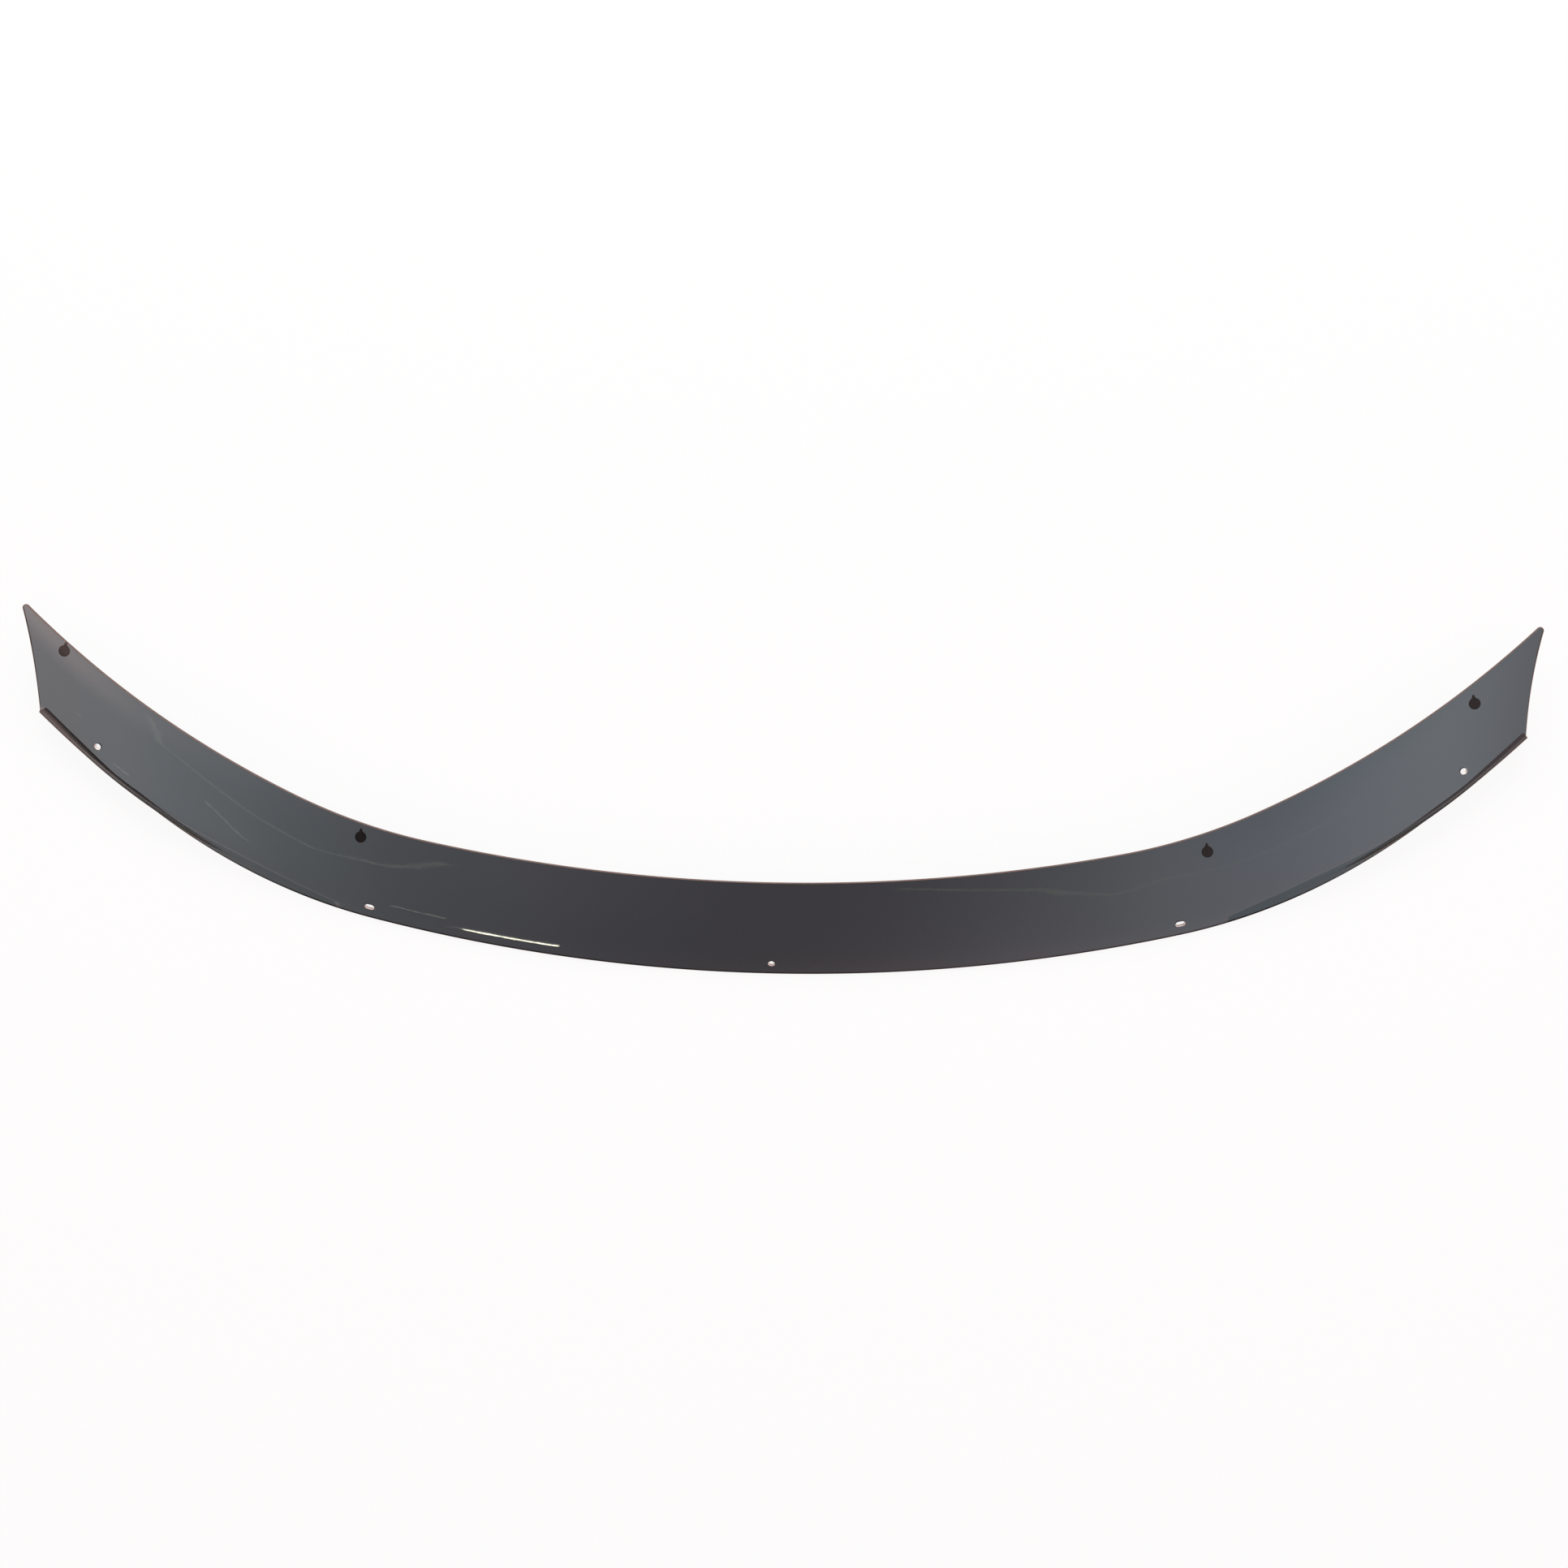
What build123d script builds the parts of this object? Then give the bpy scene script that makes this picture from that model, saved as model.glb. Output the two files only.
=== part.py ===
"""Hood bug deflector, made of one thermoformed sheet of smoke-tinted acrylic.

The sheet is a shallow arch that follows the front edge of a hood. Along its front it rolls down into a
flange, which takes the screws. Towards both ends the roll tightens and the flange turns down until upright.
Four thin black marks under its rear edge show where the hood bumpers go.

Millimetres. X runs across the vehicle, -Y points to its front and Z is up. The deflector rests on the edge
of its flange, and the origin is on that surface, under the middle of the outline.
"""

import os
from math import asin, cos, degrees, radians, sin

from build123d import *

# Sheet
sheet = 3.0

# Bow of the front rim in plan, as tangent arcs from the middle outwards
rim_y = -179.8
rim_radius = 1681.0
rim_angle = 13.7
shoulder_radius = 598.5
shoulder_angle = 30.1
end_radius = 3050.0
rim_length = 788.5

# Rear edge in plan, also as tangent arcs from the middle outwards, the last one up to the tip
band_width = 97.5
rear_radius = 1667.0
rear_angle = 11.7
rear_shoulder_radius = 533.0
rear_shoulder_angle = 14.5
rear_end_radius = 952.0

# Slanted ends: how far the tips stand past the square cut across the flange, measured along the rim,
# how hollow the ends are, how round the tips are, and how long the square cut is
tip_overhang = 91.3
end_hollow = 4.5
tip_radius = 3.3
square_cut = 8.2

# Cross-section in the middle: overall height, the flange, the roll above it and the gently arched band
mid_height = 30.0
mid_flange_tilt = 36.0
mid_roll_radius = 110.0
mid_band_tilt = 4.0
mid_crown_radius = 257.0

# Cross-section at the ends, where the flange is folded down and draws the rim in
end_height = 39.5
end_flange_tilt = 90.0
end_roll_radius = 8.0
end_band_tilt = 26.0
end_crown_radius = 138.0
end_draw_in = 4.5

# Length of rim over which the fold develops, up to the square cut
fold_run = 388.5

# The formed blank reaches past the outline, which trims it
blank_reach = 120.0
blank_margin = 4.2
blank_length = rim_length + tip_overhang + blank_margin
blank_sections = 12
trim_height = 80.0
trim_margin = 40.0

# Screw holes: their inset from the rim in plan, and how far along the rim the slots and the end holes lie
# from the square cut
screw_hole = 6.1
slot_length = 9.2
middle_hole_inset = 12.4
slot_margin = 384.5
slot_inset = 13.0
end_hole_margin = 65.5
end_hole_inset = 24.5

# Teardrop marks under the sheet
mark_radius = 5.6
mark_thickness = 0.3
nub_reach = 8.7
nub_radius = 1.0
nub_root = 4.4
nub_fillet = 1.2
# Their distance along the rim from the square cut, inset from the rear edge and turn of the pointed nub
left_marks = {
    "bumper_mark_left_outer": (-22.4, 9.03, -14.5),
    "bumper_mark_left_inner": (359.1, 14.22, -3.6),
}
right_marks = {
    "bumper_mark_right_inner": (338.4, 18.47, 7.8),
    "bumper_mark_right_outer": (14.0, 16.68, 12.4),
}


def blend(middle, end, share):
    """A value between the middle's and the ends'."""
    return middle + (end - middle) * share


def fold_share(along):
    """How far the fold has developed at a distance along the rim, rising smoothly from 0 to 1."""
    t = min(max(1.0 - (rim_length - abs(along)) / fold_run, 0.0), 1.0)
    return t * t * (3.0 - 2.0 * t)


# Plan line of the right half of the rim, run on to where the formed blank ends
with BuildLine() as rim:
    front_arc = JernArc((0, rim_y), (1, 0), rim_radius, rim_angle)
    shoulder_arc = JernArc(front_arc @ 1, front_arc % 1, shoulder_radius, shoulder_angle)
    end_angle = degrees((blank_length - front_arc.length - shoulder_arc.length) / end_radius)
    JernArc(shoulder_arc @ 1, shoulder_arc % 1, end_radius, end_angle)

# Plan line of the right half of the rear edge, run on past the tip
with BuildLine() as rear:
    rear_arc = JernArc((0, rim_y + band_width), (1, 0), rear_radius, rear_angle)
    rear_shoulder = JernArc(rear_arc @ 1, rear_arc % 1, rear_shoulder_radius, rear_shoulder_angle)
    run_on = degrees(rim_length / rear_end_radius)
    JernArc(rear_shoulder @ 1, rear_shoulder % 1, rear_end_radius, run_on)


def rim_plane(along):
    """Upright plane across the rim: its x axis points inwards and its y axis up."""
    half = rim.wire()
    point = half.position_at(abs(along), PositionMode.LENGTH)
    tangent = half.tangent_at(abs(along), PositionMode.LENGTH)
    side = -1 if along < 0 else 1
    origin = Vector(side * point.X, point.Y, 0)
    forward = Vector(tangent.X, side * tangent.Y, 0)
    return Plane(origin=origin, x_dir=Vector(-forward.Y, forward.X, 0), z_dir=forward)


def rear_inset(along):
    """Inset of the rear edge from the rim, on the line across the rim."""
    across = rim_plane(abs(along))
    line = Axis(across.origin, across.x_dir)
    crossings = [point for edge in rear.edges() for point in edge.find_intersection_points(line)]
    return min(across.to_local_coords(point).X for point in crossings)


def cross_section(along):
    """The sheet's section across the rim, from the flange's edge over the roll to behind the rear edge."""
    share = fold_share(along)
    height = blend(mid_height, end_height, share)
    flange_tilt = blend(mid_flange_tilt, end_flange_tilt, share)
    # The wide roll of the middle tightens by even ratios, so the flange never runs out of length
    roll_radius = mid_roll_radius * (end_roll_radius / mid_roll_radius) ** share
    band_tilt = blend(mid_band_tilt, end_band_tilt, share)
    crown_radius = blend(mid_crown_radius, end_crown_radius, share)
    rise, run = sin(radians(flange_tilt)), cos(radians(flange_tilt))
    band_rise, band_run = sin(radians(band_tilt)), cos(radians(band_tilt))
    # The flange is as long as the height leaves for it, below the roll and the arch
    lift = sheet * run
    flange = (height - lift - roll_radius * (band_run - run) - crown_radius * (1 - band_run)) / rise
    edge = Vector(end_draw_in * share, lift)
    roll_turn = flange_tilt - band_tilt
    crown_x = edge.X + flange * run + roll_radius * (rise - band_rise)
    crown_turn = band_tilt - degrees(asin(band_rise - (blank_reach - crown_x) / crown_radius))
    with BuildSketch(rim_plane(along)) as section:
        with BuildLine():
            outer_flange = Line(edge, edge + Vector(run, rise) * flange)
            outer_roll = JernArc(outer_flange @ 1, outer_flange % 1, roll_radius, -roll_turn)
            outer_crown = JernArc(outer_roll @ 1, outer_roll % 1, crown_radius, -crown_turn)
            inner_edge = edge + Vector(rise, -run) * sheet
            inner_flange = Line(inner_edge, inner_edge + Vector(run, rise) * flange)
            inner_roll = JernArc(inner_flange @ 1, inner_flange % 1, roll_radius - sheet, -roll_turn)
            inner_crown = JernArc(inner_roll @ 1, inner_roll % 1, crown_radius - sheet, -crown_turn)
            Line(outer_crown @ 1, inner_crown @ 1)
            Line(edge, inner_edge)
        make_face()
    return section.sketch


def upper_plane(solid, x, y, x_dir):
    """Plane on the sheet's upper face above a point of the plan, square to the sheet."""
    point, normal = solid.find_intersection_points(Axis((x, y, -sheet), (0, 0, 1)))[-1]
    return Plane(origin=point, x_dir=x_dir, z_dir=normal)


# Formed and trimmed sheet, before drilling
with BuildPart() as trimmed_sheet:
    steps = range(-blank_sections, blank_sections + 1)
    loft([cross_section(blank_length * step / blank_sections) for step in steps])
    with BuildSketch():
        with BuildLine():
            add([rear_arc, rear_shoulder])
            tip_along = rim_length + tip_overhang
            tip = rim_plane(tip_along).from_local_coords((rear_inset(tip_along), 0))
            TangentArc(rear_shoulder @ 1, tip, tangent=rear_shoulder % 1)
            corner = rim_plane(rim_length)
            cut_top = corner.from_local_coords((square_cut, 0))
            cut_foot = corner.from_local_coords((-trim_margin, 0))
            SagittaArc(tip, cut_top, -end_hollow)
            front = rim_y - trim_margin
            Polyline(cut_top, cut_foot, (cut_foot.X, front), (0, front))
            mirror(about=Plane.YZ)
        make_face()
        tips = vertices().group_by(Axis.Y)[-1]
        fillet(tips, tip_radius)
    extrude(amount=trim_height, both=True, mode=Mode.INTERSECT)

# The deflector: the trimmed sheet with its screw holes, each square to the sheet
slot_along = rim_length - slot_margin
end_hole_along = rim_length - end_hole_margin
with BuildPart() as deflector_shield:
    add(trimmed_sheet.part)
    for along, inset, length in (
        (0.0, middle_hole_inset, screw_hole),
        (-slot_along, slot_inset, slot_length),
        (slot_along, slot_inset, slot_length),
        (-end_hole_along, end_hole_inset, screw_hole),
        (end_hole_along, end_hole_inset, screw_hole),
    ):
        across = rim_plane(along)
        centre = across.from_local_coords((inset, 0))
        with BuildSketch(upper_plane(trimmed_sheet.part, centre.X, centre.Y, across.z_dir)):
            if length > screw_hole:
                SlotOverall(length, screw_hole)
            else:
                Circle(screw_hole / 2)
        extrude(amount=2 * sheet, both=True, mode=Mode.SUBTRACT)
deflector_shield.part.label = "deflector_shield"


def make_mark(name, side, margin, inset, turn):
    """A thin teardrop of vinyl stuck to the under side of the sheet, on its left (-1) or right (1) side."""
    along = side * (rim_length - margin)
    centre = rim_plane(along).from_local_coords((rear_inset(along) - inset, 0))
    heading = Vector(0, 1, 0).rotate(Axis.Z, turn)
    upper = upper_plane(trimmed_sheet.part, centre.X, centre.Y, heading)
    under = Plane(origin=upper.origin - upper.z_dir * (sheet + mark_thickness), x_dir=heading, z_dir=upper.z_dir)
    with BuildPart() as mark:
        with BuildSketch(under):
            Circle(mark_radius)
            nub_centre = nub_reach - nub_radius
            with Locations((nub_centre, 0)):
                Circle(nub_radius)
            root_x = mark_radius - nub_radius
            with BuildLine():
                Polyline(
                    (root_x, nub_root / 2),
                    (nub_centre, nub_radius),
                    (nub_centre, -nub_radius),
                    (root_x, -nub_root / 2),
                    close=True,
                )
            make_face()
            hollows = vertices().filter_by_position(Axis.X, 0, mark_radius)
            fillet(hollows, nub_fillet)
        extrude(amount=mark_thickness + sheet / 2)
        add(trimmed_sheet.part, mode=Mode.SUBTRACT)
    mark.part.label = name
    return mark.part


bumper_marks = [make_mark(name, -1, *place) for name, place in left_marks.items()]
bumper_marks += [make_mark(name, 1, *place) for name, place in right_marks.items()]

os.makedirs("parts", exist_ok=True)
export_step(deflector_shield.part, "parts/deflector_shield.step")
for mark_part in bumper_marks:
    export_step(mark_part, f"parts/{mark_part.label}.step")
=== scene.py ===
import math

import bpy
import numpy as np
from bpy.props import FloatProperty, FloatVectorProperty, PointerProperty
from mathutils import Matrix, Vector


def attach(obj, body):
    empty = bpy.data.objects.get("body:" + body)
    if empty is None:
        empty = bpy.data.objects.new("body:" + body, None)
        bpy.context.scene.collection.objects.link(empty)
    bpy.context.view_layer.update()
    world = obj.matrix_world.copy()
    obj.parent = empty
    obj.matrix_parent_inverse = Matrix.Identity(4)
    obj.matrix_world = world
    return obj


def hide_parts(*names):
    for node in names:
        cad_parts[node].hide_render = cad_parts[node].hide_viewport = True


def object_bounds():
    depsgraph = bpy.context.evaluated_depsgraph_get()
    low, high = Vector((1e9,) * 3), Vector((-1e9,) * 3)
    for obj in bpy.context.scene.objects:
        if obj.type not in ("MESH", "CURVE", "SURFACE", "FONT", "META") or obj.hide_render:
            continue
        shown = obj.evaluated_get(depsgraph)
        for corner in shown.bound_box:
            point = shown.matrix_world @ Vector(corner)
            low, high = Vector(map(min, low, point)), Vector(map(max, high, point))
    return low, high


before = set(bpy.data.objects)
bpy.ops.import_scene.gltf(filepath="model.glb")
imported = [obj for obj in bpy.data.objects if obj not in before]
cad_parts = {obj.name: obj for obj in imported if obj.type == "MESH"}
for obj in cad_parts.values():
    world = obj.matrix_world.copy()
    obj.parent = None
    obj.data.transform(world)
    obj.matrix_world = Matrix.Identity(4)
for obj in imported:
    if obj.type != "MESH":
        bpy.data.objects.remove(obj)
CAD_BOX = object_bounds()

bl_info = {
    "name": "Hood bug deflector",
    "version": (1, 0, 0),
    "blender": (4, 5, 0),
    "location": "3D Viewport > Sidebar > Deflector",
    "description": "Smoke acrylic hood deflector with its bumper marks, on a pale studio floor",
    "category": "Object",
}

MM = 0.001


def hexed(colour, alpha=1.0):
    """An sRGB hex colour as the linear RGBA that shaders take."""
    parts = [int(colour[i : i + 2], 16) / 255 for i in (1, 3, 5)]
    return tuple(c / 12.92 if c <= 0.04045 else ((c + 0.055) / 1.055) ** 2.4 for c in parts) + (alpha,)


def length(name, description, millimetres):
    return FloatProperty(
        name=name, description=description, default=millimetres * MM, unit="LENGTH", precision=4
    )


def turn(name, description, degrees):
    return FloatProperty(name=name, description=description, default=math.radians(degrees), subtype="ANGLE")


def tint(name, description, colour):
    return FloatVectorProperty(
        name=name, description=description, default=hexed(colour)[:3], subtype="COLOR", size=3, min=0, max=1
    )


def spot(name, margin, inset):
    return FloatVectorProperty(
        name=name,
        description="Distance along the rim from the square cut, and inset from the rear edge",
        default=(margin * MM, inset * MM),
        size=2,
        unit="LENGTH",
        precision=4,
    )


def level(name, description, value):
    return FloatProperty(name=name, description=description, default=value, min=0)


class PlanSizes(bpy.types.PropertyGroup):
    """Outline of the deflector seen from above, right half; arcs run from the middle outwards."""

    rim_y: length("Rim", "How far the front rim's middle lies before the origin", -179.8)
    rim_radius: length("Rim radius", "Bow of the rim in the middle", 1681.0)
    rim_angle: turn("Rim angle", "Turn of the rim's middle arc", 13.7)
    shoulder_radius: length("Shoulder radius", "Bow of the rim at the shoulders", 598.5)
    shoulder_angle: turn("Shoulder angle", "Turn of the rim at the shoulders", 30.1)
    end_radius: length("End radius", "Bow of the rim near its ends", 3050.0)
    rim_length: length("Rim length", "From the middle to the square cut, along the rim", 788.5)
    band_width: length("Band width", "From the rim to the rear edge in the middle", 97.5)
    rear_radius: length("Rear radius", "Bow of the rear edge in the middle", 1667.0)
    rear_angle: turn("Rear angle", "Turn of the rear edge's middle arc", 11.7)
    rear_shoulder_radius: length("Rear shoulder radius", "Bow of the rear edge at the shoulders", 533.0)
    rear_shoulder_angle: turn("Rear shoulder angle", "Turn of the rear edge at the shoulders", 14.5)
    rear_end_radius: length("Rear end radius", "Bow of the rear edge near the tips", 952.0)
    tip_overhang: length("Tip overhang", "How far the tips stand past the square cut, along the rim", 91.3)
    end_hollow: length("End hollow", "How hollow the slanted ends are", 4.5)
    tip_radius: length("Tip radius", "Rounding of the tips", 3.3)
    square_cut: length("Square cut", "Length of the square cut across the flange", 8.2)


class SectionSizes(bpy.types.PropertyGroup):
    """Cross-section of the formed sheet, in the middle and at the ends."""

    sheet: length("Sheet", "Thickness of the acrylic", 3.0)
    edge_round: length("Edge rounding", "Rounding that scraping leaves on the cut edges", 0.9)
    mid_height: length("Middle height", "Overall height in the middle", 30.0)
    mid_flange_tilt: turn("Middle flange tilt", "Slope of the flange in the middle", 36.0)
    mid_roll_radius: length("Middle roll radius", "Radius of the roll in the middle", 110.0)
    mid_band_tilt: turn("Middle band tilt", "Slope where the roll meets the band in the middle", 4.0)
    mid_crown_radius: length("Middle crown radius", "Arch of the band in the middle", 257.0)
    end_height: length("End height", "Overall height at the ends", 39.5)
    end_flange_tilt: turn("End flange tilt", "Slope of the flange at the ends", 90.0)
    end_roll_radius: length("End roll radius", "Radius of the roll at the ends", 8.0)
    end_band_tilt: turn("End band tilt", "Slope where the roll meets the band at the ends", 26.0)
    end_crown_radius: length("End crown radius", "Arch of the band at the ends", 138.0)
    end_draw_in: length("End draw in", "How far the fold draws the rim in at the ends", 4.5)
    fold_run: length("Fold run", "Length of rim over which the fold develops, up to the square cut", 388.5)


class HoleSizes(bpy.types.PropertyGroup):
    """Screw holes, by their distance along the rim from the square cut and their inset from the rim."""

    screw_hole: length("Screw hole", "Width of the holes and slots", 6.1)
    slot_length: length("Slot length", "Overall length of the slots", 9.2)
    middle_hole_inset: length("Middle hole inset", "Inset of the middle hole", 12.4)
    slot_margin: length("Slot margin", "Distance of the slots from the square cut", 384.5)
    slot_inset: length("Slot inset", "Inset of the slots", 13.0)
    end_hole_margin: length("End hole margin", "Distance of the end holes from the square cut", 65.5)
    end_hole_inset: length("End hole inset", "Inset of the end holes", 24.5)
    chamfer: length("Chamfer", "Chamfer round the holes", 0.3)


class MarkSizes(bpy.types.PropertyGroup):
    """The teardrop marks: their shape, where each lies, and how far its nub is turned from straight back."""

    radius: length("Radius", "Radius of the round part", 5.6)
    thickness: length("Thickness", "Thickness of the vinyl", 0.3)
    nub_reach: length("Nub reach", "From the middle of the round part to the end of the nub", 8.7)
    nub_radius: length("Nub radius", "Rounding of the nub's end", 1.0)
    nub_root: length("Nub root", "Width of the nub at its root", 4.4)
    nub_fillet: length("Nub fillet", "Rounding beside the nub's root", 1.2)
    left_outer: spot("Left outer", -22.4, 9.03)
    left_outer_turn: turn("Left outer turn", "Turn of the nub", -14.5)
    left_inner: spot("Left inner", 359.1, 14.22)
    left_inner_turn: turn("Left inner turn", "Turn of the nub", -3.6)
    right_inner: spot("Right inner", 338.4, 18.47)
    right_inner_turn: turn("Right inner turn", "Turn of the nub", 7.8)
    right_outer: spot("Right outer", 14.0, 16.68)
    right_outer_turn: turn("Right outer turn", "Turn of the nub", 12.4)


class FinishSettings(bpy.types.PropertyGroup):
    """Colours and gloss of the acrylic and of the vinyl marks."""

    acrylic_skin: tint("Acrylic skin", "Tint of the acrylic's skin where light comes in", "#474749")
    acrylic_surface: tint("Acrylic surface", "Tint of the acrylic's skin where light goes out", "#E6E6EA")
    acrylic_clear: tint("Acrylic body", "Light that the acrylic's body lets through", "#23232B")
    acrylic_density: level("Acrylic density", "How strongly the acrylic takes light out, per metre", 179.0)
    acrylic_roughness: level("Acrylic roughness", "Roughness of the polished acrylic", 0.03)
    sawn: tint("Sawn edge", "Colour of the scraped edges", "#6B5850")
    drilled: tint("Drilled wall", "Colour of the frosted walls of the holes", "#FFFAF5")
    cut_roughness: level("Cut roughness", "Roughness of the sawn edges and drilled walls", 0.5)
    vinyl: tint("Vinyl", "Colour of the marks", "#0F0D0D")
    vinyl_roughness: level("Vinyl roughness", "Roughness of the marks' film", 0.45)


class StageSettings(bpy.types.PropertyGroup):
    """Floor, lamps and camera."""

    floor: tint("Floor", "Colour of the floor", "#F7F7F7")
    floor_glow: level("Floor glow", "Share of plain white that the floor adds for the camera", 0.91)
    under_level: level("Under level", "Strength of the floor's light under the sheet", 1.2)
    surround_left: tint("Surround left", "Colour of the studio to the left", "#948582")
    surround_right: tint("Surround right", "Colour of the studio to the right", "#E6CDD0")
    floor_dim: tint("Dim floor", "Colour of the floor before the object, as the sheet mirrors it", "#74675F")
    side_light: tint("Side light", "Colour of the warm light low beside the ends", "#FFDDD2")
    side_level: level("Side level", "Radiance of the warm light low beside the ends", 1.9)
    shade_reach: length("Shade reach", "How far the floor's shade reaches before the rim", 80.0)
    softbox: tint("Softbox", "Colour of the warm softbox over the left end", "#FFDCD2")
    softbox_level: level("Softbox level", "Radiance in the middle of the softbox", 3.8)
    camera_lens: FloatProperty(name="Lens", description="Focal length in mm, 36 mm sensor", default=72.112)
    camera_roll: FloatProperty(name="Roll", description="Roll of the camera", default=0.0070, subtype="ANGLE")
    camera_at: FloatVectorProperty(
        name="Camera", description="Place of the camera", default=(0.2017, 0.5605, 3.0), subtype="XYZ"
    )
    camera_aim: FloatVectorProperty(
        name="Aim",
        description="Point that the camera looks at",
        default=(0.01036, 0.00977, 0.0),
        subtype="XYZ",
    )


class PlanArc:
    """A left-turning arc of the plan, given by where it starts and heads."""

    def __init__(self, start, heading, radius, angle):
        self.heading, self.radius, self.angle = heading, radius, angle
        self.centre = np.array(start) + radius * np.array([-math.sin(heading), math.cos(heading)])

    def at(self, heading):
        """The arc's point where it has a heading."""
        return self.centre + self.radius * np.array([np.sin(heading), -np.cos(heading)]).T

    @property
    def length(self):
        return self.radius * self.angle


def arc_points(centre, radius, angles):
    return np.array(centre) + radius * np.array([np.cos(angles), np.sin(angles)]).T


def arc_chain(start, arcs):
    """Tangent arcs one after another, the first heading along X."""
    chain, heading = [], 0.0
    for radius, angle in arcs:
        chain.append(PlanArc(start, heading, radius, angle))
        heading += angle
        start = chain[-1].at(heading)
    return chain


# Points along the plan's arcs, round the tip, and along the rear edge where the tip's corner is looked for
ARC_STEPS, TIP_STEPS, CORNER_STEPS = 300, 200, 2000
# The rim's last arc and the slanted end run on past what is cut off
RIM_RUN_ON, END_RUN_ON = math.radians(15), 0.05
TINY = 1e-9


class Outline:
    """The right half of the deflector's plan, told as distances along the rim and insets from it."""

    def __init__(self, plan, margin):
        self.rim = arc_chain(
            (0, plan.rim_y),
            (
                (plan.rim_radius, plan.rim_angle),
                (plan.shoulder_radius, plan.shoulder_angle),
                (plan.end_radius, RIM_RUN_ON),
            ),
        )
        rear = arc_chain(
            (0, plan.rim_y + plan.band_width - margin),
            (
                (plan.rear_radius + margin, plan.rear_angle),
                (plan.rear_shoulder_radius + margin, plan.rear_shoulder_angle),
                (plan.rear_end_radius + margin, plan.rim_length / plan.rear_end_radius),
            ),
        )
        last = rear[-1]
        corner_along = plan.rim_length + plan.tip_overhang
        run_on = last.at(np.linspace(last.heading, last.heading + last.angle, CORNER_STEPS))
        corner_inset = np.interp(corner_along, *self.along_and_inset(run_on)) + margin
        corner = self.place(np.array(corner_along), np.array(corner_inset))[:2]
        self.cut = plan.rim_length - margin
        cut_top = self.place(np.array(plan.rim_length), np.array(plan.square_cut))[:2]
        # The slanted end is an arc with its centre outside the sheet
        chord = cut_top - corner
        width = np.linalg.norm(chord)
        inward = np.array([chord[1], -chord[0]]) / width
        hollow_radius = (width**2 / 4 + plan.end_hollow**2) / (2 * plan.end_hollow)
        hollow = (corner + cut_top) / 2 + inward * (plan.end_hollow - hollow_radius)
        # The tip's round touches the rear edge and the slanted end from within the sheet
        tip = self.meeting(
            last.centre,
            last.radius - margin + plan.tip_radius,
            hollow,
            hollow_radius + plan.tip_radius,
            corner,
        )
        tip_radius = plan.tip_radius - margin
        to_rear = math.atan2(*(last.centre - tip)[::-1])
        to_end = math.atan2(*(hollow - tip)[::-1])
        furthest = math.atan2(tip[0] - self.rim[-1].centre[0], self.rim[-1].centre[1] - tip[1])
        furthest += tip_radius / self.rim[-1].radius
        rear_stop = math.atan2(tip[0] - last.centre[0], last.centre[1] - tip[1])
        spans = [(arc, arc.heading + arc.angle) for arc in rear[:-1]] + [(last, rear_stop)]
        rear_line = [arc.at(np.linspace(arc.heading, end, ARC_STEPS)) for arc, end in spans]
        rear_line.append(arc_points(tip, tip_radius, np.linspace(to_rear, furthest, TIP_STEPS)))
        self.rear_at = self.along_and_inset(np.vstack(rear_line))
        start = math.atan2(*(tip - hollow)[::-1])
        stop = math.atan2(*(cut_top - hollow)[::-1]) + END_RUN_ON
        around = np.linspace(*np.unwrap([start, stop]), ARC_STEPS)
        end_line = [
            arc_points(tip, tip_radius, np.linspace(furthest, to_end, TIP_STEPS)),
            arc_points(hollow, hollow_radius + margin, around),
        ]
        self.end_at = self.along_and_inset(np.vstack(end_line))
        self.reach = self.end_at[0][0]

    @staticmethod
    def meeting(a, a_radius, b, b_radius, near):
        """The crossing of two circles that lies nearer to a point."""
        between = b - a
        distance = np.linalg.norm(between)
        along = (a_radius**2 - b_radius**2 + distance**2) / (2 * distance)
        aside = math.sqrt(a_radius**2 - along**2)
        unit = between / distance
        options = [a + unit * along + side * aside * np.array([-unit[1], unit[0]]) for side in (-1, 1)]
        return min(options, key=lambda point: np.linalg.norm(point - near))

    def place(self, along, inset):
        """Plan point, and the rim's heading, for a distance along the rim and an inset."""
        start = 0.0
        x, y, heading = 0.0, 0.0, 0.0
        for arc in self.rim:
            here = along >= start
            now = arc.heading + (along - start) / arc.radius
            reach = arc.radius - inset
            x = np.where(here, arc.centre[0] + reach * np.sin(now), x)
            y = np.where(here, arc.centre[1] - reach * np.cos(now), y)
            heading = np.where(here, now, heading)
            start += arc.length
        return np.array([x, y, heading])

    def along_and_inset(self, points):
        """The inverse of place, for the points of a line."""
        x, y = points.T
        start, along, inset = 0.0, np.zeros(len(x)), np.zeros(len(x))
        for arc in self.rim:
            heading = np.arctan2(x - arc.centre[0], arc.centre[1] - y)
            here = heading >= arc.heading - TINY
            along = np.where(here, start + (heading - arc.heading) * arc.radius, along)
            inset = np.where(here, arc.radius - np.hypot(x - arc.centre[0], y - arc.centre[1]), inset)
            start += arc.length
        return along, inset

    def rear_inset(self, along):
        return np.interp(along, *self.rear_at)

    def end_along(self, inset):
        """How far the sheet reaches along the rim at an inset."""
        along, insets = self.end_at
        return np.maximum(np.interp(inset, insets[::-1], along[::-1]), self.cut)


FLANGE, ROLL, CROWN = 0, 1, 2
# The rounded edge takes up no more than this share of a short flange
EDGE_SHARE = 0.9


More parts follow.
